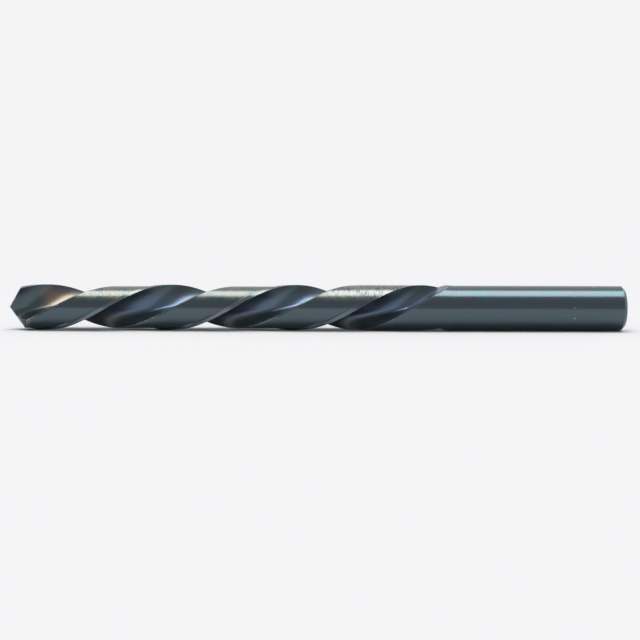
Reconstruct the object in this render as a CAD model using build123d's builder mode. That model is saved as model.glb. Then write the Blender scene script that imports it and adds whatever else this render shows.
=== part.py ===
"""Left-hand twist drill of jobber length, ground from one bar, lying on its side."""

import os
from math import acos, asin, cos, degrees, pi, radians, sin, sqrt, tan

from build123d import *

# Overall sizes, in millimetres
drill_diameter = 9.128
overall_length = 123.8
flute_length = 88.35
land_past_flutes = 0.3
shank_taper = 0.8
shank_diameter = 9.0
shank_chamfer = 0.6

# Helix: one turn of the flutes, and how far the drill is turned as it lies
flute_lead = 50.2
lying_turn = 56.5

# Point: each flank is part of a cone that holds one lip
point_angle = 118.0
lip_relief = 9.5
flank_cone_angle = 60.0
flank_cone_reach = 11.7
flank_depth = 6.0

# Flute section, at the point and at the far end of the flutes
web_at_point = 1.45
web_at_end = 2.75
opening_at_point = 102.1
opening_at_end = 73.75
runout_slope = 27.5
runout_turn = 3.0

# Lands: a narrow margin at full diameter, and the relieved land behind it
margin_width = 0.75
clearance_depth = 0.32
clearance_shoulder = 0.3
clearance_full_to = 58.0
clearance_ends_at = 71.0
heel_relief_width = 0.36
heel_relief_depth = 0.16

# How far the grinding runs outside the bar
overrun = 1.0

drill_radius = drill_diameter / 2
shank_radius = shank_diameter / 2
cutter_radius = drill_radius + overrun
half_point = radians(point_angle / 2)
half_flank_cone = radians(flank_cone_angle / 2)
helix_slope = pi * drill_diameter / flute_lead

# The drill's own axis runs from the point to the shank, at the height that rests its margins on the ground
axis_plane = Plane(
    origin=(-overall_length / 2, 0, drill_radius), x_dir=(0, -1, 0), z_dir=(1, 0, 0)
)
drill_axis = Axis(axis_plane.origin, axis_plane.z_dir)


def half_web(station):
    """Half the web's thickness at a distance from the point."""
    return (web_at_point + (web_at_end - web_at_point) * station / flute_length) / 2


def opening(station):
    """Angle that a flute takes up at the drill's rim."""
    return opening_at_point + (opening_at_end - opening_at_point) * station / flute_length


# The lip is straight, half a web off the axis, and its outer end is the corner that cuts the bore.
# Seen along the axis the lip runs in the x direction, and the z direction points to the shank.
corner_angle = asin(half_web(0) / drill_radius)
corner = Vector(drill_radius * cos(corner_angle), half_web(0), 0)
lip_direction = Vector(sin(half_point), 0, cos(half_point))
relief_direction = Vector(
    cos(radians(lip_relief)) * sin(corner_angle),
    -cos(radians(lip_relief)) * cos(corner_angle),
    sin(radians(lip_relief)),
)
flank_normal = lip_direction.cross(relief_direction).normalized()
cone_direction = lip_direction * cos(half_flank_cone) - flank_normal * sin(half_flank_cone)
cone_apex = corner - lip_direction * flank_cone_reach

# Where the flank cone meets the drill's axis: the tip lies this far ahead of the outer corners
cone_cosine = cos(half_flank_cone) ** 2
square_term = cone_direction.Z**2 - cone_cosine
linear_term = cone_cosine * cone_apex.Z - cone_apex.dot(cone_direction) * cone_direction.Z
constant_term = cone_apex.dot(cone_direction) ** 2 - cone_cosine * cone_apex.dot(cone_apex)
corner_station = constant_term / (linear_term + sqrt(linear_term**2 - square_term * constant_term))


def lip_side_angle(radius, web):
    """Angle from the flute's floor to its lip side at a radius, for a lip that grinds out straight."""
    reach = sqrt(max(radius**2 - web**2, 0))
    return degrees(acos(min(web / radius, 1)) - helix_slope / tan(half_point) * reach / drill_radius)


def edge_turn(station):
    """Angle of the cutting edge about the axis, measured from the plane's x direction."""
    return -lying_turn - 360 * (station - corner_station) / flute_lead


def floor_turn(station):
    """Angle of the flute's floor about the axis."""
    return edge_turn(station) + lip_side_angle(drill_radius, half_web(station))


def section_plane(station, turn):
    """Plane across the drill, turned about its axis."""
    return Plane(axis_plane.offset(station) * Rotation(0, 0, turn))


def flute_section(station):
    """One flute's section, with its floor on the sketch's y axis and its lip side towards x."""
    web = half_web(station)
    lip_radii = [web, 1.15 * web, 1.6 * web, 0.6 * drill_radius, 0.85 * drill_radius, cutter_radius]
    lip_points = [
        (radius * sin(radians(angle)), radius * cos(radians(angle)))
        for radius, angle in ((radius, lip_side_angle(radius, web)) for radius in lip_radii)
    ]
    heel_angle = radians(opening(station) - lip_side_angle(drill_radius, web))
    outward = Vector(-sin(heel_angle), cos(heel_angle))
    with BuildSketch(section_plane(station, floor_turn(station) - 90)) as section:
        with BuildLine():
            lip_side = Spline(*lip_points, tangents=[(1, 0), (1, 0.55)])
            heel_side = Spline(
                (0, web), outward * drill_radius, outward * cutter_radius, tangents=[(-1, 0), outward]
            )
            ThreePointArc(heel_side @ 1, (0, cutter_radius + overrun), lip_side @ 1)
        make_face()
    return section.sketch


def clearance_section(station, depth):
    """Section of the land's relief: from behind the margin, and falling away towards the heel."""
    margin_angle = margin_width / drill_radius
    shoulder_angle = margin_angle + clearance_shoulder / drill_radius
    heel_angle = radians(180 - opening(station))
    relief_angle = heel_angle - heel_relief_width / drill_radius
    floor_radius = drill_radius - depth
    heel_radius = floor_radius - heel_relief_depth * depth / clearance_depth
    shoulder_run = (shoulder_angle - margin_angle) * overrun / clearance_depth

    def rim_point(radius, angle):
        return Vector(radius * cos(angle), -radius * sin(angle))

    with BuildSketch(section_plane(station, edge_turn(station))) as section:
        with BuildLine():
            shoulder = Line(
                rim_point(cutter_radius, margin_angle - shoulder_run),
                rim_point(floor_radius, shoulder_angle),
            )
            floor = ThreePointArc(
                shoulder @ 1,
                rim_point(floor_radius, (shoulder_angle + relief_angle) / 2),
                rim_point(floor_radius, relief_angle),
            )
            heel_relief = Line(floor @ 1, (floor @ 1) * -1 + rim_point(heel_radius, heel_angle) * 2)
            end = Line(heel_relief @ 1, (heel_relief @ 1).normalized() * cutter_radius)
            ThreePointArc(
                end @ 1, rim_point(cutter_radius, (shoulder_angle + relief_angle) / 2), shoulder @ 0
            )
        make_face()
    return section.sketch


def helical_cut(sections, first, last):
    """Sweep sections along the drill's axis while they turn with the flutes' helix."""
    path = Edge.make_line(axis_plane.offset(first).origin, axis_plane.offset(last).origin)
    guide = Edge.make_helix(
        flute_lead, last - first, cutter_radius, path @ 0, axis_plane.z_dir, lefthand=True
    )
    return sweep(sections, path=path, multisection=True, binormal=guide)


# Flute: ground along the helix, and left by the wheel on a flat ramp that rises to the rim
cut_start = -overrun
cut_end = flute_length + overrun
ramp_end = section_plane(flute_length, floor_turn(flute_length) - runout_turn)
ramp_outward = ramp_end.x_dir * cos(radians(runout_slope))
ramp_along = axis_plane.z_dir * sin(radians(runout_slope))
ramp_plane = Plane(
    origin=ramp_end.from_local_coords((drill_radius, 0, 0)), z_dir=ramp_outward - ramp_along
)

with BuildPart() as flute:
    section_stations = [cut_start + (cut_end - cut_start) * step / 4 for step in range(5)]
    helical_cut([flute_section(station) for station in section_stations], cut_start, cut_end)
    split(bisect_by=ramp_plane, keep=Keep.TOP)

# Relief of the land: full depth first, then fading out before the flutes end
fade_end = clearance_ends_at + overrun
fade_rate = clearance_depth / (clearance_ends_at - clearance_full_to)

with BuildPart() as land_relief:
    helical_cut(
        [clearance_section(station, clearance_depth) for station in (cut_start, clearance_full_to)],
        cut_start,
        clearance_full_to,
    )
    helical_cut(
        [
            clearance_section(clearance_full_to, clearance_depth),
            clearance_section(fade_end, -fade_rate * overrun),
        ],
        clearance_full_to,
        fade_end,
    )

# Flank: what is ground away outside one flank cone
lip_plane = section_plane(corner_station, edge_turn(corner_station) - degrees(corner_angle))
cone_plane = Plane(
    origin=lip_plane.from_local_coords(cone_apex),
    z_dir=lip_plane.from_local_coords(cone_direction) - lip_plane.origin,
)
cone_height = 3 * flank_cone_reach

with BuildPart() as flank:
    with Locations(axis_plane.offset(-overrun)):
        Cylinder(cutter_radius, flank_depth + overrun, align=(Align.CENTER, Align.CENTER, Align.MIN))
    with Locations(cone_plane):
        Cone(
            0,
            cone_height * tan(half_flank_cone),
            cone_height,
            align=(Align.CENTER, Align.CENTER, Align.MIN),
            mode=Mode.SUBTRACT,
        )

# Drill: the turned bar, with two of each cut half a turn apart
bar_plane = Plane(origin=axis_plane.origin, x_dir=(1, 0, 0), z_dir=(0, -1, 0))
body_length = flute_length + land_past_flutes

with BuildPart() as twist_drill:
    with BuildSketch(bar_plane):
        with BuildLine():
            Polyline(
                (0, 0),
                (0, drill_radius),
                (body_length, drill_radius),
                (body_length + shank_taper, shank_radius),
                (overall_length - shank_chamfer, shank_radius),
                (overall_length, shank_radius - shank_chamfer),
                (overall_length, 0),
                close=True,
            )
        make_face()
    revolve(axis=drill_axis)
    for turn in (0, 180):
        add(land_relief.part.rotate(drill_axis, turn), mode=Mode.SUBTRACT)
    for turn in (0, 180):
        add(flute.part.rotate(drill_axis, turn), mode=Mode.SUBTRACT)
    for turn in (0, 180):
        add(flank.part.rotate(drill_axis, turn), mode=Mode.SUBTRACT)

os.makedirs("parts", exist_ok=True)
twist_drill.part.label = "twist_drill"
export_step(twist_drill.part, "parts/twist_drill.step")
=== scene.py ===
# Left-hand jobber twist drill, black oxide on ground high speed steel, lying on a pale floor.
import math

import bpy
import numpy as np
from mathutils import Matrix, Vector
from mathutils.geometry import delaunay_2d_cdt


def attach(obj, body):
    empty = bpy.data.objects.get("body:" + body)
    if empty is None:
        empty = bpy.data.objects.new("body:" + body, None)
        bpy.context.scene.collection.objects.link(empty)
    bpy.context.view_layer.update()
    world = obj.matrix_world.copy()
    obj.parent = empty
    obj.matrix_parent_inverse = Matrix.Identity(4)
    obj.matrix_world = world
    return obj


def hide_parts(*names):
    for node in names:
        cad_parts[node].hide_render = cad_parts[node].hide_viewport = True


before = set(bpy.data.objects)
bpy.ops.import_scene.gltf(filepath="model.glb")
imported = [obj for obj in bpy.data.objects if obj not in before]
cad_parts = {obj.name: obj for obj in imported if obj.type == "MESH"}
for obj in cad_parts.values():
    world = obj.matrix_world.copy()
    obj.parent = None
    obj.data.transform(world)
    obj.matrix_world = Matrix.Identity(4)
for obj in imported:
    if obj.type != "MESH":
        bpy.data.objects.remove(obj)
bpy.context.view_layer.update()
print("frame loaded:", sorted(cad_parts))


def linear(hexColour):  # sRGB hex to the linear values that the shaders work in
    channels = [int(hexColour[i:i + 2], 16) / 255 for i in (0, 2, 4)]
    return tuple(c / 12.92 if c <= 0.04045 else ((c + 0.055) / 1.055) ** 2.4 for c in channels) + (1.0,)


def addNode(tree, kind, inputs=None, **settings):  # a node, its settings, and its inputs as values or links
    node = tree.nodes.new(kind)
    for name, value in settings.items():
        setattr(node, name, value)
    for key, value in (inputs or {}).items():
        if isinstance(value, bpy.types.NodeSocket):
            tree.links.new(value, node.inputs[key])
        else:
            node.inputs[key].default_value = value
    return node


# Drill: every size in millimetres and degrees, as the part has them
drill = {
    "length": 123.8,
    "diameter": 9.128,
    "fluteLength": 88.35,
    "bodyLength": 88.65,
    "taperLength": 0.8,
    "shankDiameter": 9.0,
    "chamfer": 0.6,
    "lead": 50.2,
    "lyingTurn": 56.5,
    "pointAngle": 118.0,
    "lipRelief": 9.5,
    "coneAngle": 60.0,
    "coneReach": 11.7,
    "webs": (1.45, 2.75),
    "openings": (102.1, 73.75),
    "rampSlope": 27.5,
    "rampTurn": 3.0,
    "margin": 0.75,
    "shoulder": 0.3,
    "clearance": 0.32,
    "fade": (58.0, 71.0),
    "heelRelief": 0.36,
    "heelDrop": 1.5,
    "wheelOverrun": 1.0,
    "edgeRow": 0.05,
    "edgeDrop": 0.004,
    "rows": 250,
    "rampRows": 26,
    "shankRows": 14,
    "wallRails": 26,
    "landRails": 24,
    "edgeRails": 3,
    "chiselSteps": 9,
    "flankSpacing": 0.17,
    "rampSpacing": 0.4,
    "lipWearAndGlintShare": 0.2,
    "mergeGap": 0.002,
    "sharpAngle": 11,
}
# where to look for each crossing: along the drill in millimetres, about its axis in degrees, or as shares
searches = {
    "tip": (-6.0, 2.0),
    "flank": (-4.0, 9.0),
    "start": (-1.0, 8.0),
    "ramp": (72.0, 89.0),
    "heel": (0.6, 1.0),
    "chiselRail": (-0.6, 0.6),
    "chiselTurn": (-80.0, 80.0),
}
rimRadius = drill["diameter"] / 2
shankRadius = drill["shankDiameter"] / 2
halfPoint = math.radians(drill["pointAngle"] / 2)
halfCone = math.radians(drill["coneAngle"] / 2)
rampRise = math.tan(math.radians(drill["rampSlope"]))
helixSlope = math.pi * drill["diameter"] / drill["lead"]
turnRate = 360 / drill["lead"]


def halfWeb(station):
    first, last = drill["webs"]
    return (first + (last - first) * station / drill["fluteLength"]) / 2


def opening(station):
    first, last = drill["openings"]
    return first + (last - first) * station / drill["fluteLength"]


def reliefDepth(station):  # full behind the margin, fading out before the flutes end
    first, last = drill["fade"]
    return drill["clearance"] * np.clip((last - station) / (last - first), 0, 1)


def bisect(value, low, high, steps=48):  # where a rising function of an array crosses zero
    low = np.array(low, float)
    high = np.array(high, float)
    for _ in range(steps):
        middle = (low + high) / 2
        rising = value(middle) < 0
        low = np.where(rising, middle, low)
        high = np.where(rising, high, middle)
    return (low + high) / 2


# Flank cones, in a frame with the lip along x and the shank along z
webTurn = math.asin(halfWeb(0) / rimRadius)
corner = np.array([rimRadius * math.cos(webTurn), halfWeb(0), 0])
lipLine = np.array([math.sin(halfPoint), 0, math.cos(halfPoint)])
relief = math.radians(drill["lipRelief"])
reliefLine = np.array(
    [math.cos(relief) * math.sin(webTurn), -math.cos(relief) * math.cos(webTurn), math.sin(relief)]
)
flankNormal = np.cross(lipLine, reliefLine)
flankNormal /= np.linalg.norm(flankNormal)
coneLine = lipLine * math.cos(halfCone) - flankNormal * math.sin(halfCone)
coneTip = corner - lipLine * drill["coneReach"]


def coneDepth(across, up, along):  # above zero inside one flank's cone
    away = np.stack(np.broadcast_arrays(across, up, along), -1) - coneTip
    return away @ coneLine - np.linalg.norm(away, axis=-1) * math.cos(halfCone)


cornerStation = -float(bisect(lambda along: coneDepth(0, 0, along), *searches["tip"]))
lipAzimuth = math.radians(drill["lyingTurn"]) + webTurn


def flankDepth(side, radius, azimuth, station):  # azimuth in radians, from the camera's side upwards
    turn = azimuth - lipAzimuth - math.pi * side
    return coneDepth(radius * np.cos(turn), -radius * np.sin(turn), station - cornerStation)


def edgeAzimuth(station):
    return drill["lyingTurn"] + turnRate * (station - cornerStation)


def lipTurn(reach, web):  # from the flute's floor to its lip wall, for a lip that grinds out straight
    return np.degrees(np.arctan2(reach, web) - helixSlope / math.tan(halfPoint) * reach / rimRadius)


def heelCurve(share, station):  # the flute's curve from its floor out to the heel
    web = halfWeb(station)
    heelTurn = np.radians(opening(station) - lipTurn(np.sqrt(rimRadius**2 - web**2), web))
    outward = np.stack([-np.sin(heelTurn), np.cos(heelTurn)], -1)
    floor = np.stack([0 * web, web], -1)
    rim = outward * rimRadius
    span = np.linalg.norm(rim - floor, axis=-1)[..., None]
    over = drill["wheelOverrun"]
    floorSlope = np.array([-1.0, 0.0])
    pull = 3 * (over * (rim - floor) / span + span * outward)
    rimSlope = (pull - over * floorSlope - span * outward) / (2 * (span + over))
    t = np.asarray(share)[..., None]
    return (
        (2 * t**3 - 3 * t**2 + 1) * floor
        + (t**3 - 2 * t**2 + t) * span * floorSlope
        + (3 * t**2 - 2 * t**3) * rim
        + (t**3 - t**2) * span * rimSlope
    )


# Flute's wall, as radius and turn. Its rails run from -1 at the heel, by 0 on the floor, to 1 at the lip
def wallPoint(rail, station):
    rail, station = np.broadcast_arrays(np.asarray(rail, float), np.asarray(station, float))
    web = halfWeb(station)
    fullReach = np.sqrt(rimRadius**2 - web**2)
    reach = np.clip(rail, 0, 1) * fullReach
    heelRadius = rimRadius - drill["heelDrop"] * reliefDepth(station)
    low, high = searches["heel"]
    heelShare = bisect(
        lambda t: np.linalg.norm(heelCurve(t, station), axis=-1) - heelRadius,
        np.full(station.shape, low),
        np.full(station.shape, high),
    )
    curve = heelCurve(np.clip(-rail, 0, 1) * heelShare, station)
    heelTurn = np.degrees(np.arctan2(-curve[..., 0], curve[..., 1]))
    radius = np.where(rail > 0, np.sqrt(web**2 + reach**2), np.linalg.norm(curve, axis=-1))
    turn = 180 - lipTurn(fullReach, web) + np.where(rail > 0, lipTurn(reach, web), -heelTurn)
    return radius, turn


def arcDegrees(width):
    return math.degrees(width / rimRadius)


# A land's rails: margin, shoulder, relieved land and heel facet, each with its shares from 0 to 1
edgeRails = drill["edgeRails"]
landParts = [(part, i / edgeRails) for part in (0, 1) for i in range(edgeRails)]
landParts += [(2, i / drill["landRails"]) for i in range(drill["landRails"])]
landParts += [(3, i / edgeRails) for i in range(edgeRails + 1)]
landPart = np.array([part for part, share in landParts])
landShare = np.array([share for part, share in landParts])


def landPoint(part, share, station, lead=0.0, trail=None):  # radius and turn of a land, between its two edges
    depth = reliefDepth(station)
    heelRadius, heelTurn = wallPoint(-1.0, station)
    trail = heelTurn if trail is None else trail
    run = drill["shoulder"] * drill["wheelOverrun"] / drill["clearance"]
    marginEdge = drill["margin"] - run + (drill["shoulder"] + run) / (1 + depth)
    turns = [lead + 0 * depth, lead + np.degrees(marginEdge / rimRadius)]
    turns += [lead + 0 * depth + arcDegrees(drill["margin"] + drill["shoulder"])]
    turns += [trail - arcDegrees(drill["heelRelief"]), trail + 0 * depth]
    radii = [rimRadius + 0 * depth, rimRadius + 0 * depth, rimRadius - depth, rimRadius - depth, heelRadius]
    pieces = range(len(turns) - 1)
    turn = sum(np.where(part == i, turns[i] + (turns[i + 1] - turns[i]) * share, 0) for i in pieces)
    radius = sum(np.where(part == i, radii[i] + (radii[i + 1] - radii[i]) * share, 0) for i in pieces)
    return radius, turn


def solveStart(point, count):  # station where each rail leaves the ground flanks
    def inside(station):
        radius, turn = point(station)
        azimuth = np.radians(turn + edgeAzimuth(station))
        return np.minimum(flankDepth(0, radius, azimuth, station), flankDepth(1, radius, azimuth, station))

    low, high = searches["start"]
    return bisect(inside, np.full(count, low), np.full(count, high))


def chiselGap(rail):  # above zero where the other land's flank is the one that is ground deeper
    rail = np.atleast_1d(rail)
    station = solveStart(lambda s: wallPoint(rail, s), rail.shape)
    radius, turn = wallPoint(rail, station)
    azimuth = np.radians(turn + edgeAzimuth(station))
    return flankDepth(0, radius, azimuth, station) - flankDepth(1, radius, azimuth, station)


low, high = searches["chiselRail"]
chiselShare = float(bisect(chiselGap, [low], [high], 30)[0])
wallShares = np.concatenate(
    [np.linspace(-1, 0, drill["wallRails"] + 1), np.linspace(0, 1, drill["wallRails"] + 1)[1:]]
)
chiselRail = int(np.abs(wallShares - chiselShare).argmin())
wallShares[chiselRail] = chiselShare

wallStarts = solveStart(lambda s: wallPoint(wallShares, s), wallShares.shape)
landStarts = solveStart(lambda s: landPoint(landPart, landShare, s), landPart.shape)

# Run-out: the flat ramp that the wheel leaves, rising to the rim
fluteLength = drill["fluteLength"]
endWeb = halfWeb(fluteLength)
endLipTurn = lipTurn(math.sqrt(rimRadius**2 - endWeb**2), endWeb)
rampAzimuth = edgeAzimuth(fluteLength) - endLipTurn + drill["rampTurn"]


def rampStation(angle):  # where the ramp meets the rim, at an angle from its middle
    return fluteLength - rimRadius * (1 - np.cos(np.radians(angle))) / rampRise


def aboveRamp(rail, station):  # falls below zero where a wall rail runs into the ramp
    radius, turn = wallPoint(rail, station)
    angle = np.radians(turn + edgeAzimuth(station) - rampAzimuth - 180)
    return radius * np.cos(angle) - rimRadius + (fluteLength - station) * rampRise


low, high = searches["ramp"]
wallEnds = bisect(
    lambda s: -aboveRamp(wallShares, s), np.full(wallShares.shape, low), np.full(wallShares.shape, high)
)
leadAngle = edgeAzimuth(wallEnds[-1]) - rampAzimuth
trailAngle = wallPoint(-1.0, wallEnds[0])[1] + edgeAzimuth(wallEnds[0]) - rampAzimuth - 180
print("corner %.3f mm behind the tip, flutes end at %.2f mm" % (cornerStation, wallEnds.max()))


# Mesh of half the drill, not yet twisted: one land, the flute behind it, and half the point and shank
class Blank:
    def __init__(self):
        self.points = []
        self.faces = []
        self.zones = []
        self.across = []
        self.edges = []

    def add(self, points, faces, zone, across, edges):
        first = sum(len(p) for p in self.points)
        self.points.append(points)
        for face in faces:
            self.faces.append([first + i for i in face])
            self.zones.append(zone(face) if callable(zone) else zone)
            self.across.extend(across[i] for i in face)
            self.edges.extend(edges[i] for i in face)


def untwisted(radius, azimuth, station):  # straight-fluted coordinates in millimetres, the twist taken off
    turn = np.radians(azimuth - edgeAzimuth(np.minimum(station, fluteLength)))
    return np.stack(np.broadcast_arrays(station, -radius * np.cos(turn), radius * np.sin(turn)), -1)


def gridFaces(rows, rails):
    return [
        (j * rails + i, (j + 1) * rails + i, (j + 1) * rails + i + 1, j * rails + i + 1)
        for j in range(rows - 1)
        for i in range(rails - 1)
    ]


zones = {"shank": 0, "margin": 1, "land": 2, "flute": 3, "flank": 4, "ramp": 5}
blank = Blank()
rowShares = np.linspace(0, 1, drill["rows"] + 1)[:, None]

# Flute wall
stations = wallStarts + (wallEnds - wallStarts) * rowShares
radius, turn = wallPoint(wallShares, stations)
wallGrid = untwisted(radius, turn + edgeAzimuth(stations), stations)
steps = np.hypot(
    np.diff(radius, axis=1), np.radians(np.diff(turn, axis=1)) * (radius[:, 1:] + radius[:, :-1]) / 2
)
fromHeel = np.concatenate([0 * steps[:, :1], np.cumsum(steps, 1)], 1)
fromLip = fromHeel[:, -1:] - fromHeel
# near the point the flute's edge along the lip counts as worn: partly real wear, partly a painted glint along
# the lip
fromFlank = drill["lipWearAndGlintShare"] * (stations - wallStarts)
blank.add(
    wallGrid.reshape(-1, 3),
    gridFaces(*stations.shape),
    zones["flute"],
    np.stack([fromLip, stations], -1).reshape(-1, 2),
    np.stack([np.minimum(fromLip, fromFlank), fromHeel], -1).reshape(-1, 2),
)
wallFirst = (radius[0], turn[0] + edgeAzimuth(stations[0]), stations[0])
wallLast = (radius[-1], turn[-1] + edgeAzimuth(stations[-1]), stations[-1])

# Land, on past the ramps to the end of the shank
landEnds = wallEnds[-1] + (wallEnds[0] - wallEnds[-1]) * np.linspace(0, 1, len(landPart))
rows = [landStarts + (landEnds - landStarts) * rowShares]
radius, turn = landPoint(landPart, landShare, rows[0])
azimuths = [turn + edgeAzimuth(rows[0])]
radii = [radius]
rampShares = 1 - np.linspace(0, 1, drill["rampRows"] + 1)[1:, None]
across = np.linspace(0, 1, len(landPart))
lead = leadAngle * rampShares
trail = trailAngle * rampShares
station = rampStation(lead) * (1 - across) + rampStation(trail) * across
radius, turn = landPoint(landPart, landShare, station, lead, trail + 180)
rows.append(station)
azimuths.append(turn + rampAzimuth)
radii.append(radius)

bodyLength = drill["bodyLength"]
shankStart = bodyLength + drill["taperLength"]
chamferStart = drill["length"] - drill["chamfer"]
edgeRow, edgeDrop = drill["edgeRow"], drill["edgeDrop"]
shankRows = [
    (bodyLength - edgeRow, rimRadius),
    (bodyLength, rimRadius),
    (bodyLength + edgeRow, rimRadius - edgeDrop),
    (shankStart - edgeRow, shankRadius + edgeDrop),
    (shankStart, shankRadius),
    (shankStart + edgeRow, shankRadius),
]
shankRows += [(s, shankRadius) for s in np.linspace(shankStart, chamferStart, drill["shankRows"])[1:]]
shankRows += [(drill["length"], shankRadius - drill["chamfer"])]
for station, radius in shankRows:
    rows.append(np.full((1, len(landPart)), station))
    radii.append(np.full((1, len(landPart)), radius))
    azimuths.append(azimuths[1][-1:])
stations = np.concatenate(rows)
radii = np.concatenate(radii)
azimuths = np.concatenate(azimuths)
fromLip = np.radians(azimuths - azimuths[:, :1]) * rimRadius
fromHeel = fromLip[:, -1:] - fromLip
landGrid = untwisted(radii, azimuths, stations)
rails = stations.shape[1]
shankRow = drill["rows"] + drill["rampRows"]
# the shank has no ground edges along it
pastRamps = (np.arange(len(stations)) > shankRow)[:, None] * 1.0
landGap = np.minimum(fromLip + pastRamps, stations - landStarts)


def landZone(face):
    row, rail = divmod(face[0], rails)
    if row >= shankRow:
        return zones["shank"]
    return zones["margin"] if landPart[rail] == 0 else zones["land"]


blank.add(
    landGrid.reshape(-1, 3),
    gridFaces(*stations.shape),
    landZone,
    np.stack([fromLip, stations], -1).reshape(-1, 2),
    np.stack([landGap, fromHeel + pastRamps], -1).reshape(-1, 2),
)
landFirst = (radii[0], azimuths[0], stations[0])

# Shank end
lastRing = landGrid[-1]
endPoints = np.concatenate([lastRing, [[drill["length"], 0, 0]]])
endFaces = [(i, rails, i + 1) for i in range(rails - 1)]
endAcross = np.concatenate([np.stack([fromLip[-1], stations[-1]], -1), [[0, drill["length"]]]])
blank.add(endPoints, endFaces, zones["shank"], endAcross, endAcross + 1.0)


def fillLoop(loop, spacing):  # triangles over a flat loop, with a grid of points inside
    count = len(loop)
    low, high = loop.min(0), loop.max(0)
    grid = np.stack(np.meshgrid(np.arange(low[0], high[0], spacing), np.arange(low[1], high[1], spacing)), -1)
    grid = grid.reshape(-1, 2)
    following = np.roll(loop, -1, 0)
    inside = np.zeros(len(grid), bool)
    clear = np.full(len(grid), np.inf)
    for a, b in zip(loop, following):
        crosses = (a[1] > grid[:, 1]) != (b[1] > grid[:, 1])
        rise = b[1] - a[1] if b[1] != a[1] else 1e-12
        inside ^= crosses & (grid[:, 0] < a[0] + (grid[:, 1] - a[1]) * (b[0] - a[0]) / rise)
        share = np.clip((grid - a) @ (b - a) / max((b - a) @ (b - a), 1e-12), 0, 1)
        clear = np.minimum(clear, np.linalg.norm(grid - a - share[:, None] * (b - a), axis=1))
    inner = grid[inside & (clear > 0.5 * spacing)]
    coords = np.concatenate([loop, inner])
    result = delaunay_2d_cdt([Vector(p) for p in coords], [], [list(range(count))], 1, 1e-7)
    return np.array([tuple(v) for v in result[0]]), [tuple(f) for f in result[2]]


def rimDistance(points, loop):  # from each point to the nearest of a loop's sides
    nearest = np.full(len(points), np.inf)
    for a, b in zip(loop, np.roll(loop, -1, 0)):
        share = np.clip((points - a) @ (b - a) / max((b - a) @ (b - a), 1e-12), 0, 1)
        nearest = np.minimum(nearest, np.linalg.norm(points - a - share[:, None] * (b - a), axis=1))
    return nearest


def facing(points, faces, direction):  # turn each triangle to face a direction
    turned = []
    for a, b, c in faces:
        normal = np.cross(points[b] - points[a], points[c] - points[a])
        turned.append((a, b, c) if normal @ direction > 0 else (a, c, b))
    return turned


# Flank of the land: its cone, between the lip, the rim, the heel and the chisel edge
def crossPoint(radius, azimuth):
    return np.stack([-radius * np.cos(np.radians(azimuth)), radius * np.sin(np.radians(azimuth))], -1)


def flankStation(side, radius, azimuth):
    low, high = searches["flank"]
    return bisect(
        lambda s: flankDepth(side, radius, azimuth, s),
        np.full(radius.shape, low),
        np.full(radius.shape, high),
    )


chiselRadius, chiselAzimuth = wallFirst[0][chiselRail], wallFirst[1][chiselRail]
chiselRadii = chiselRadius * np.linspace(1, 0, drill["chiselSteps"])[1:-1]
# at each radius the chisel edge is where both flanks reach the same station
low, high = searches["chiselTurn"]
chiselAzimuths = bisect(
    lambda a: flankStation(1, chiselRadii, np.radians(a)) - flankStation(0, chiselRadii, np.radians(a)),
    np.full(len(chiselRadii), chiselAzimuth + low),
    np.full(len(chiselRadii), chiselAzimuth + high),
)
chisel = crossPoint(chiselRadii, chiselAzimuths)
heelWall = crossPoint(wallFirst[0][1:chiselRail + 1], wallFirst[1][1:chiselRail + 1])
lipWall = -crossPoint(wallFirst[0][chiselRail:-1], wallFirst[1][chiselRail:-1])
rimPoints = crossPoint(landFirst[0], landFirst[1])
loop = np.concatenate([rimPoints, heelWall, chisel, [[0.0, 0.0]], -chisel[::-1], lipWall])
flat, faces = fillLoop(loop, drill["flankSpacing"])
flatRadius = np.linalg.norm(flat, axis=1)
flatAzimuth = np.degrees(np.arctan2(flat[:, 1], -flat[:, 0]))
flatStation = np.maximum(
    flankStation(0, flatRadius, np.radians(flatAzimuth)), flankStation(1, flatRadius, np.radians(flatAzimuth))
)
flankPoints = untwisted(flatRadius, flatAzimuth, flatStation)
trueFlank = np.concatenate([flatStation[:, None], flat], 1)
faces = facing(trueFlank, faces, np.array([-1.0, 0.0, 0.0]))
lipDistance = np.abs(flat @ np.array([math.sin(lipAzimuth), math.cos(lipAzimuth)]) + halfWeb(0))
flankAcross = np.stack([lipDistance, flatStation], -1)
flankGap = np.stack([lipDistance, rimRadius - flatRadius], -1)
blank.add(flankPoints, faces, zones["flank"], flankAcross, flankGap)

# Ramp: flat, between the wall's end and the rim
leadTurn = lead[:, 0]
trailTurn = trail[:-1, 0]
leadRim = (np.full(len(leadTurn), rimRadius), leadTurn + rampAzimuth + 180, rampStation(leadTurn))
trailRim = (np.full(len(trailTurn), rimRadius), trailTurn + rampAzimuth + 180, rampStation(trailTurn))
ring = [np.concatenate([wallLast[i], leadRim[i], trailRim[i][::-1]]) for i in range(3)]
offAxis = crossPoint(ring[0], ring[1] - rampAzimuth - 180)
loop = np.stack([ring[2] / math.cos(math.radians(drill["rampSlope"])), offAxis[:, 1]], -1)
flat, faces = fillLoop(loop, drill["rampSpacing"])
rampAlong = flat[:, 0] * math.cos(math.radians(drill["rampSlope"]))
rampHeight = rimRadius - (fluteLength - rampAlong) * rampRise
rampRadius = np.hypot(rampHeight, flat[:, 1])
rampTurns = np.degrees(np.arctan2(flat[:, 1], rampHeight))
rampPoints = untwisted(rampRadius, rampTurns + rampAzimuth + 180, rampAlong)
trueRamp = np.stack([rampAlong, -rampHeight, flat[:, 1]], -1)
faces = facing(trueRamp, faces, np.array([-rampRise, -1.0, 0.0]))
rampAcross = np.stack([flat[:, 1], rampAlong], -1)
rampGap = rimDistance(flat, loop)
blank.add(rampPoints, faces, zones["ramp"], rampAcross, np.stack([rampGap, rampGap], -1))

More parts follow.
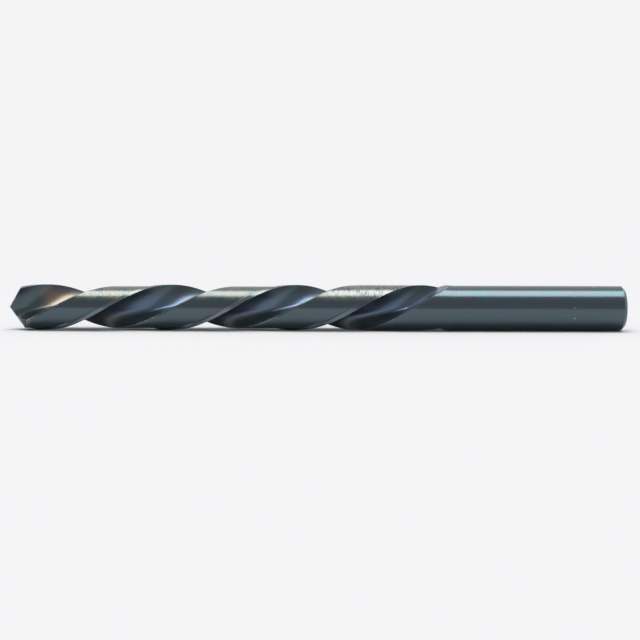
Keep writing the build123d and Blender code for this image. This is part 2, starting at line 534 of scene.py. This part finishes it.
halfMesh = bpy.data.meshes.new("straightHalf")
halfMesh.from_pydata([tuple(p) for p in np.concatenate(blank.points) / 1000], [], blank.faces)
zoneLayer = halfMesh.attributes.new("zone", "INT", "FACE")
zoneLayer.data.foreach_set("value", blank.zones)
for name, values in (("ground", blank.across), ("edgeGap", blank.edges)):
    layer = halfMesh.uv_layers.new(name=name)
    layer.data.foreach_set("uv", np.array(values, np.float32).ravel())
halfDrill = bpy.data.objects.new("straightHalf", halfMesh)
bpy.context.scene.collection.objects.link(halfDrill)
print("half drill: %d faces" % len(halfMesh.polygons))

# Finishes. Black oxide is a thin dark skin on ground steel: dull-mirror gloss, blue-green in its highlights.
# Distances are in millimetres, lines and rings per millimetre, and the other noises in cells a metre.
# Four numbers say where a band starts, is full, begins to fade and ends.
finish = {
    "bodyBlack": "535F65",
    "bodyTeal": "4E6167",
    "marginGrey": "6B767B",
    "scuffBeige": "77746C",
    "rubAndHighlightGrey": "6C6E69",
    "landHighlightPale": "7A7C78",
    "fluteBlue": "505D61",
    "fluteViolet": "505A62",
    "heelPaintedShade": "555C5E",
    "floorHighlightBlue": "5B6B7E",
    "pointHighlightBronze": "82766A",
    "rampReflectionGrey": "62737B",
    "flankBlack": "3E4A50",
    "bareSteel": "C6CCCF",
    "oxideShare": 0.86,
    "bodyRoughness": 0.21,
    "fluteRoughness": 0.3,
    "rampRoughness": 0.36,
    "flankRoughness": 0.34,
    "roughnessSpread": (0.9, 1.12),
    "filmRoughness": 0.06,
    "bodyLines": (0.15, 3.2, 1.0),
    "fluteLines": (5.0, 0.12, 1.0),
    "flankLines": (6.0, 0.8, 1.0),
    "lineDepth": 0.0007,
    "lineValues": (0.3, 0.7),
    "cloudScale": 260.0,
    "clouds": (0.38, 0.66),
    "edgeWidth": 0.07,
    "edgeShare": 0.75,
    "chipScale": 1500.0,
    "chips": (0.35, 0.65),
    "leastReach": 0.2,
    "marginSide": (0.82, 0.72),
    "marginEnd": (71.0, 66.0),
    "upperSide": (6.0, 6.9),
    "rubAndHighlightLand": (11.0, 15.0, 79.0, 84.0),
    "hazeScale": 420.0,
    "haze": (0.36, 0.6),
    "speckedLand": (12.0, 15.0, 24.0, 29.0),
    "speckScale": 2600.0,
    "specks": (0.42, 0.62),
    "ringedLand": (61.0, 66.0, 77.0, 82.0),
    "paleShare": 0.7,
    "ringScale": (2.8, 0.6, 1.0),
    "rings": (0.5, 0.6),
    "ringShare": 0.7,
    "nickScale": 700.0,
    "nickSize": (0.12, 0.07),
    "nicklessShare": 0.88,
    "heelShade": (3.0, 1.6),
    "blueFloor": (2.2, 3.4, 4.4, 7.0),
    "blueFrom": (15.0, 20.0),
    "bronzeLength": (5.5, 8.5, 14.5, 18.0),
    "bronzeFloor": (2.8, 4.0, 5.6, 8.2),
}


def parts(tree, vector):
    return addNode(tree, "ShaderNodeSeparateXYZ", {0: vector}).outputs


def product(tree, first, second):
    return addNode(tree, "ShaderNodeMath", {0: first, 1: second}, operation="MULTIPLY").outputs[0]


def fade(tree, value, ends, low=0.0, high=1.0, shape="LINEAR"):  # from low to high between two values
    inputs = {0: value, 1: ends[0], 2: ends[1], 3: low, 4: high}
    return addNode(tree, "ShaderNodeMapRange", inputs, interpolation_type=shape).outputs[0]


def band(tree, distance, ends):  # one between two distances, fading in and out
    rise = fade(tree, distance, ends[:2], shape="SMOOTHSTEP")
    fall = fade(tree, distance, (ends[3], ends[2]), shape="SMOOTHSTEP")
    return product(tree, rise, fall)


def noise(tree, vector, scale, detail):
    inputs = {"Vector": vector, "Scale": scale, "Detail": detail}
    return addNode(tree, "ShaderNodeTexNoise", inputs).outputs["Fac"]


def tint(tree, share, colour, hexColour):
    inputs = {0: share, 6: colour, 7: linear(hexColour)}
    return addNode(tree, "ShaderNodeMix", inputs, data_type="RGBA").outputs[2]


# Lines are the grinding lines to a millimetre across the flute's width, and along the drill
def oxideSteel(name, base, second, roughness, lines, extras=None):
    material = bpy.data.materials.new(name)
    material.use_nodes = True
    tree = material.node_tree
    tree.nodes.clear()
    ground = addNode(tree, "ShaderNodeUVMap", uv_map="ground").outputs[0]
    gaps = parts(tree, addNode(tree, "ShaderNodeUVMap", uv_map="edgeGap").outputs[0])
    spot = addNode(tree, "ShaderNodeTexCoord").outputs["Object"]
    # cloudy colour of the oxide, patches of 3 to 6 mm
    clouds = noise(tree, spot, finish["cloudScale"], 3.0)
    clouds = fade(tree, clouds, finish["clouds"], shape="SMOOTHSTEP")
    colour = tint(tree, clouds, linear(base), second)
    # grinding lines, drawn a little coarser than a real wheel leaves them so that they show
    stretched = addNode(tree, "ShaderNodeMapping", {"Vector": ground, "Scale": lines}).outputs[0]
    lineValue = noise(tree, stretched, 1.0, 4.0)
    smoother, rougher = finish["roughnessSpread"]
    rough = fade(tree, lineValue, finish["lineValues"], roughness * smoother, roughness * rougher)
    if extras:
        colour, rough = extras(tree, colour, rough, parts(tree, ground), gaps, spot)
    # edges worn through to bright steel, in broken lines: partly real wear, partly a painted glint for light
    # catching the rounded edges
    nearest = addNode(tree, "ShaderNodeMath", {0: gaps[0], 1: gaps[1]}, operation="MINIMUM").outputs[0]
    reach = fade(tree, noise(tree, spot, finish["chipScale"], 2.0), finish["chips"], finish["leastReach"])
    wearAndGlintWidth = product(tree, reach, finish["edgeWidth"])
    edge = fade(tree, nearest, (0.0, wearAndGlintWidth), finish["edgeShare"], 0.0, "SMOOTHSTEP")
    colour = tint(tree, edge, colour, finish["bareSteel"])
    bump = addNode(
        tree, "ShaderNodeBump", {"Height": lineValue, "Strength": 1.0, "Distance": finish["lineDepth"] / 1000}
    ).outputs[0]
    shader = addNode(
        tree,
        "ShaderNodeBsdfPrincipled",
        {"Base Color": colour, "Metallic": finish["oxideShare"], "Roughness": rough, "Normal": bump},
    ).outputs[0]
    addNode(tree, "ShaderNodeOutputMaterial", {"Surface": shader})
    return material


def bodyMarks(tree, colour, rough, ground, gaps, spot):
    # margins: rubbed lighter than the land behind them, as far as the land is relieved
    onMargin = fade(tree, gaps[0], finish["marginSide"])
    relieved = fade(tree, ground[1], finish["marginEnd"])
    colour = tint(tree, product(tree, onMargin, relieved), colour, finish["marginGrey"])
    # the side that lies uppermost is tinted beige-grey: partly real rubbing by handling, partly a painted
    # highlight where the overhead light reflects
    heights = [height / 1000 for height in finish["upperSide"]]
    upper = fade(tree, parts(tree, spot)[2], heights, shape="SMOOTHSTEP")
    rubAndHighlight = product(tree, upper, band(tree, ground[1], finish["rubAndHighlightLand"]))
    haze = fade(tree, noise(tree, spot, finish["hazeScale"], 4.0), finish["haze"])
    hazeAndHighlight = product(tree, rubAndHighlight, haze)
    colour = tint(tree, hazeAndHighlight, colour, finish["rubAndHighlightGrey"])
    # beige specks near the point, a tenth of a millimetre or two across, kept to the uppermost side with the
    # painted highlight
    specks = fade(tree, noise(tree, spot, finish["speckScale"], 3.0), finish["specks"])
    specks = product(tree, specks, band(tree, ground[1], finish["speckedLand"]))
    colour = tint(tree, product(tree, specks, rubAndHighlight), colour, finish["scuffBeige"])
    # on the last of the land the upper side is lighter still, a painted highlight, under dark rings left by
    # the wheel, 0.4 mm apart and broken up
    ringed = product(tree, rubAndHighlight, band(tree, ground[1], finish["ringedLand"]))
    colour = tint(tree, product(tree, ringed, finish["paleShare"]), colour, finish["landHighlightPale"])
    swapped = addNode(tree, "ShaderNodeCombineXYZ", {0: ground[1], 1: ground[0]}).outputs[0]
    squeezed = addNode(
        tree, "ShaderNodeMapping", {"Vector": swapped, "Scale": finish["ringScale"]}
    ).outputs[0]
    rings = fade(tree, noise(tree, squeezed, 1.0, 2.0), finish["rings"], high=finish["ringShare"])
    colour = tint(tree, product(tree, rings, ringed), colour, finish["flankBlack"])
    # rare light nicks, a sixth of a millimetre across
    cells = addNode(
        tree, "ShaderNodeTexVoronoi", {"Vector": spot, "Scale": finish["nickScale"], "Randomness": 1.0}
    ).outputs
    nick = fade(tree, cells["Distance"], finish["nickSize"])
    pick = addNode(tree, "ShaderNodeSeparateColor", {0: cells["Color"]}).outputs[0]
    chosen = addNode(
        tree, "ShaderNodeMath", {0: pick, 1: finish["nicklessShare"]}, operation="GREATER_THAN"
    ).outputs[0]
    colour = tint(tree, product(tree, nick, chosen), colour, finish["bareSteel"])
    rough = addNode(
        tree, "ShaderNodeMath", {0: hazeAndHighlight, 1: finish["filmRoughness"], 2: rough}, operation="MULTIPLY_ADD"
    ).outputs[0]
    return colour, rough


def fluteTint(tree, colour, rough, ground, gaps, spot):
    # painted shade along the heel side, toning down the reflection there
    heelSide = fade(tree, gaps[1], finish["heelShade"], shape="SMOOTHSTEP")
    colour = tint(tree, heelSide, colour, finish["heelPaintedShade"])
    # blue along the flute's floor, and bronze towards the point, set where the overhead light reflects:
    # partly the oxide's own tint, partly a painted highlight
    past = fade(tree, ground[1], finish["blueFrom"], shape="SMOOTHSTEP")
    blue = product(tree, past, band(tree, gaps[1], finish["blueFloor"]))
    colour = tint(tree, blue, colour, finish["floorHighlightBlue"])
    near = band(tree, ground[1], finish["bronzeLength"])
    bronze = product(tree, near, band(tree, gaps[1], finish["bronzeFloor"]))
    colour = tint(tree, bronze, colour, finish["pointHighlightBronze"])
    return colour, rough


bodyOxide = oxideSteel(
    "black_oxide_ground_body",
    finish["bodyBlack"],
    finish["bodyTeal"],
    finish["bodyRoughness"],
    finish["bodyLines"],
    bodyMarks,
)
fluteOxide = oxideSteel(
    "black_oxide_ground_flute",
    finish["fluteBlue"],
    finish["fluteViolet"],
    finish["fluteRoughness"],
    finish["fluteLines"],
    fluteTint,
)
# the run-out ramp takes a lighter copy of the oxide: a painted reflection that brightens it
rampOxide = oxideSteel(
    "black_oxide_ground_runout",
    finish["rampReflectionGrey"],
    finish["bodyTeal"],
    finish["rampRoughness"],
    finish["fluteLines"],
)
flankOxide = oxideSteel(
    "black_oxide_ground_flank",
    finish["flankBlack"],
    finish["bodyBlack"],
    finish["flankRoughness"],
    finish["flankLines"],
)


# Geometry Nodes: twist the straight half along the left-hand helix and set one beside it for each flute
def twistTree():
    tree = bpy.data.node_groups.new("helicalFlutes", "GeometryNodeTree")
    face = tree.interface
    face.new_socket(name="Geometry", in_out="INPUT", socket_type="NodeSocketGeometry")
    for name, kind in (
        ("Flutes", "NodeSocketInt"),
        ("Lead", "NodeSocketFloat"),
        ("Lying Turn", "NodeSocketFloat"),
        ("Corner Station", "NodeSocketFloat"),
        ("Flute Length", "NodeSocketFloat"),
        ("Placement", "NodeSocketVector"),
        ("Merge Distance", "NodeSocketFloat"),
        ("Body Oxide", "NodeSocketMaterial"),
        ("Flute Oxide", "NodeSocketMaterial"),
        ("Ramp Oxide", "NodeSocketMaterial"),
        ("Flank Oxide", "NodeSocketMaterial"),
    ):
        face.new_socket(name=name, in_out="INPUT", socket_type=kind)
    face.new_socket(name="Geometry", in_out="OUTPUT", socket_type="NodeSocketGeometry")
    given = addNode(tree, "NodeGroupInput").outputs

    def calculate(operation, first, second):
        return addNode(tree, "ShaderNodeMath", {0: first, 1: second}, operation=operation).outputs[0]

    # each point turns about the drill's axis by its distance from the lips' corners over the lead
    position = addNode(tree, "GeometryNodeInputPosition").outputs[0]
    along = addNode(tree, "ShaderNodeSeparateXYZ", {0: position}).outputs[0]
    fluted = calculate("MINIMUM", along, given["Flute Length"])
    past = calculate("SUBTRACT", fluted, given["Corner Station"])
    twist = calculate("MULTIPLY", calculate("DIVIDE", past, given["Lead"]), math.tau)
    turned = addNode(
        tree,
        "ShaderNodeVectorRotate",
        {"Vector": position, "Axis": (-1.0, 0.0, 0.0), "Angle": calculate("ADD", twist, given["Lying Turn"])},
        rotation_type="AXIS_ANGLE",
    ).outputs[0]
    shaped = addNode(
        tree, "GeometryNodeSetPosition", {"Geometry": given["Geometry"], "Position": turned}
    ).outputs[0]

    # one copy for each flute, evenly about the axis
    spots = addNode(tree, "GeometryNodePoints", {"Count": given["Flutes"]}).outputs[0]
    index = addNode(tree, "GeometryNodeInputIndex").outputs[0]
    stepTurn = calculate("MULTIPLY", calculate("DIVIDE", index, given["Flutes"]), math.tau)
    rotation = addNode(tree, "ShaderNodeCombineXYZ", {0: stepTurn}).outputs[0]
    shaped = addNode(
        tree, "GeometryNodeInstanceOnPoints", {"Points": spots, "Instance": shaped, "Rotation": rotation}
    ).outputs[0]
    shaped = addNode(
        tree, "GeometryNodeTransform", {"Geometry": shaped, "Translation": given["Placement"]}
    ).outputs[0]
    shaped = addNode(tree, "GeometryNodeRealizeInstances", {"Geometry": shaped}).outputs[0]
    shaped = addNode(
        tree, "GeometryNodeMergeByDistance", {"Geometry": shaped, "Distance": given["Merge Distance"]}
    ).outputs[0]

    # a finish for each zone
    zone = addNode(tree, "GeometryNodeInputNamedAttribute", {"Name": "zone"}, data_type="INT").outputs[0]
    shaped = addNode(
        tree, "GeometryNodeSetMaterial", {"Geometry": shaped, "Material": given["Body Oxide"]}
    ).outputs[0]
    for zoneName, material in (("flute", "Flute Oxide"), ("ramp", "Ramp Oxide"), ("flank", "Flank Oxide")):
        chosen = addNode(
            tree, "FunctionNodeCompare", {2: zone, 3: zones[zoneName]}, data_type="INT", operation="EQUAL"
        ).outputs[0]
        shaped = addNode(
            tree,
            "GeometryNodeSetMaterial",
            {"Geometry": shaped, "Selection": chosen, "Material": given[material]},
        ).outputs[0]
    addNode(tree, "NodeGroupOutput", {0: shaped})
    return tree


tree = twistTree()
modifier = halfDrill.modifiers.new("helicalFlutes", "NODES")
modifier.node_group = tree
socketOf = {
    item.name: item.identifier
    for item in tree.interface.items_tree
    if item.item_type == "SOCKET" and item.in_out == "INPUT"
}
treeInputs = {
    "Flutes": 2,
    "Lead": drill["lead"] / 1000,
    "Lying Turn": math.radians(drill["lyingTurn"]),
    "Corner Station": cornerStation / 1000,
    "Flute Length": drill["fluteLength"] / 1000,
    "Placement": (-drill["length"] / 2000, 0.0, rimRadius / 1000),
    "Merge Distance": drill["mergeGap"] / 1000,
    "Body Oxide": bodyOxide,
    "Flute Oxide": fluteOxide,
    "Ramp Oxide": rampOxide,
    "Flank Oxide": flankOxide,
}
for name, value in treeInputs.items():
    modifier[socketOf[name]] = value
halfDrill.update_tag()
bpy.context.view_layer.update()
evaluated = halfDrill.evaluated_get(bpy.context.evaluated_depsgraph_get())
drillMesh = bpy.data.meshes.new_from_object(evaluated)
bpy.data.objects.remove(halfDrill)
drillMesh.name = "twistDrillBody"
twistDrill = bpy.data.objects.new("twistDrillBody", drillMesh)
bpy.context.scene.collection.objects.link(twistDrill)

# Smooth faces, with the ground edges kept crisp
faceCount = len(drillMesh.polygons)
drillMesh.polygons.foreach_set("use_smooth", [True] * faceCount)
faceNormals = np.zeros(faceCount * 3)
drillMesh.polygons.foreach_get("normal", faceNormals)
faceNormals = faceNormals.reshape(-1, 3)
faceZones = np.zeros(faceCount, int)
drillMesh.attributes["zone"].data.foreach_get("value", faceZones)
loopEdges = np.zeros(len(drillMesh.loops), int)
drillMesh.loops.foreach_get("edge_index", loopEdges)
loopFaces = np.repeat(np.arange(faceCount), [face.loop_total for face in drillMesh.polygons])
order = np.argsort(loopEdges, kind="stable")
counts = np.bincount(loopEdges, minlength=len(drillMesh.edges))
starts = np.concatenate([[0], np.cumsum(counts)[:-1]])
pairs = counts == 2
firstFace = loopFaces[order[starts[pairs]]]
secondFace = loopFaces[order[starts[pairs] + 1]]
cosine = (faceNormals[firstFace] * faceNormals[secondFace]).sum(1)
rampEdge = (faceZones[firstFace] == zones["ramp"]) != (faceZones[secondFace] == zones["ramp"])
sharp = np.zeros(len(drillMesh.edges), bool)
sharp[pairs] = (cosine < math.cos(math.radians(drill["sharpAngle"]))) | rampEdge
sharpLayer = drillMesh.attributes.get("sharp_edge")
sharpLayer = sharpLayer or drillMesh.attributes.new("sharp_edge", "BOOLEAN", "EDGE")
sharpLayer.data.foreach_set("value", sharp)
print("drill: %d faces, %d open edges, %d sharp edges" % (faceCount, (~pairs).sum(), sharp.sum()))

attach(twistDrill, "root")
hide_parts("twist_drill")


# Stage: pale floor to the horizon, one overhead softbox, a plain surround
stage = {
    "pale": 0.905,
    "floorWhite": 0.75,
    # how much more blue than red and green there is in each
    "paleBlue": 1.015,
    "mattBlue": 1.01,
    "skyBlue": 1.01,
    # sizes in metres
    "floorHalf": 6.0,
    "seenFrom": (0.09, 0.35),
    "boxHeight": 3.0,
    "boxFront": 1.22,
    "boxBack": 0.72,
    "boxLength": 2.4,
    # light from each direction
    "boxRadiance": 4.8,
    "glowTurn": (-0.45, 0.1),
    "backGlow": 1.0,
    "frontGlow": 0.38,
    "ambient": 0.55,
}


def paleFloor():
    half = stage["floorHalf"]
    mesh = bpy.data.meshes.new("paleFloor")
    corners = [(-half, -half, 0), (half, -half, 0), (half, half, 0), (-half, half, 0)]
    mesh.from_pydata(corners, [], [(0, 1, 2, 3)])
    floor = bpy.data.objects.new("paleFloor", mesh)
    bpy.context.scene.collection.objects.link(floor)
    material = bpy.data.materials.new("matt_white_sweep")
    material.use_nodes = True
    tree = material.node_tree
    tree.nodes.clear()
    spot = addNode(tree, "ShaderNodeTexCoord").outputs["Object"]
    away = addNode(tree, "ShaderNodeVectorMath", {0: spot}, operation="LENGTH").outputs["Value"]
    far = fade(tree, away, stage["seenFrom"], shape="SMOOTHSTEP")
    # far floor glows as the background does, for what the camera sees and the steel reflects
    rays = addNode(tree, "ShaderNodeLightPath").outputs
    seen = addNode(
        tree, "ShaderNodeMath", {0: rays["Is Camera Ray"], 1: rays["Is Glossy Ray"]}, operation="ADD"
    ).outputs[0]
    seen = addNode(
        tree, "ShaderNodeMath", {0: seen, 1: rays["Is Transmission Ray"]}, operation="ADD", use_clamp=True
    ).outputs[0]
    white, pale = stage["floorWhite"], stage["pale"]
    white = (white, white, white * stage["mattBlue"], 1)
    pale = (pale, pale, pale * stage["paleBlue"], 1)
    matt = addNode(tree, "ShaderNodeBsdfDiffuse", {"Color": white}).outputs[0]
    glow = addNode(tree, "ShaderNodeEmission", {"Color": pale, "Strength": 1.0}).outputs[0]
    mixed = addNode(tree, "ShaderNodeMixShader", {0: product(tree, far, seen), 1: matt, 2: glow}).outputs[0]
    addNode(tree, "ShaderNodeOutputMaterial", {"Surface": mixed})
    mesh.materials.append(material)


def softbox():
    light = bpy.data.lights.new("softbox", "AREA")
    light.shape = "RECTANGLE"
    light.size = stage["boxLength"]
    light.size_y = stage["boxFront"] + stage["boxBack"]
    light.energy = stage["boxRadiance"] * math.pi * light.size * light.size_y
    lamp = bpy.data.objects.new("softbox", light)
    lamp.location = (0, (stage["boxBack"] - stage["boxFront"]) / 2, stage["boxHeight"])
    bpy.context.scene.collection.objects.link(lamp)


def surround():
    world = bpy.data.worlds.new("plainStudio")
    bpy.context.scene.world = world
    world.use_nodes = True
    tree = world.node_tree
    tree.nodes.clear()
    direction = addNode(tree, "ShaderNodeTexCoord").outputs["Generated"]
    # brighter behind the drill than in front of it
    depth = parts(tree, direction)[1]
    glow = fade(tree, depth, stage["glowTurn"], stage["frontGlow"], stage["backGlow"], "SMOOTHSTEP")
    rays = addNode(tree, "ShaderNodeLightPath").outputs
    glossy = addNode(
        tree,
        "ShaderNodeMath",
        {0: rays["Is Glossy Ray"], 1: rays["Is Transmission Ray"]},
        operation="MAXIMUM",
    ).outputs[0]
    unseen = addNode(tree, "ShaderNodeMix", {0: glossy, 2: stage["ambient"], 3: glow}).outputs[0]
    strength = addNode(
        tree, "ShaderNodeMix", {0: rays["Is Camera Ray"], 2: unseen, 3: stage["pale"]}
    ).outputs[0]
    sky = (1, 1, stage["skyBlue"], 1)
    back = addNode(tree, "ShaderNodeBackground", {"Color": sky, "Strength": strength}).outputs[0]
    addNode(tree, "ShaderNodeOutputWorld", {"Surface": back})


paleFloor()
softbox()
surround()
print("stage built")

# Camera: level with the bench, 267 mm off, looking 5 degrees down
view = {
    "lens": 74.37,
    "sensor": 36.0,
    "clip": (0.01, 50.0),
    "place": (0.000681, -0.26620, 0.02533),
    "pitch": 5.0,
    "roll": 0.0024,
}
camera = bpy.data.cameras.new("photoView")
camera.lens = view["lens"]
camera.sensor_width = view["sensor"]
camera.clip_start, camera.clip_end = view["clip"]
cameraObject = bpy.data.objects.new("photoView", camera)
pitch = Matrix.Rotation(math.radians(90 - view["pitch"]), 4, "X")
roll = Matrix.Rotation(view["roll"], 4, "Z")
cameraObject.matrix_world = Matrix.Translation(view["place"]) @ pitch @ roll
bpy.context.scene.collection.objects.link(cameraObject)
bpy.context.scene.camera = cameraObject
bpy.context.scene.view_settings.view_transform = "Standard"

bpy.context.view_layer.update()
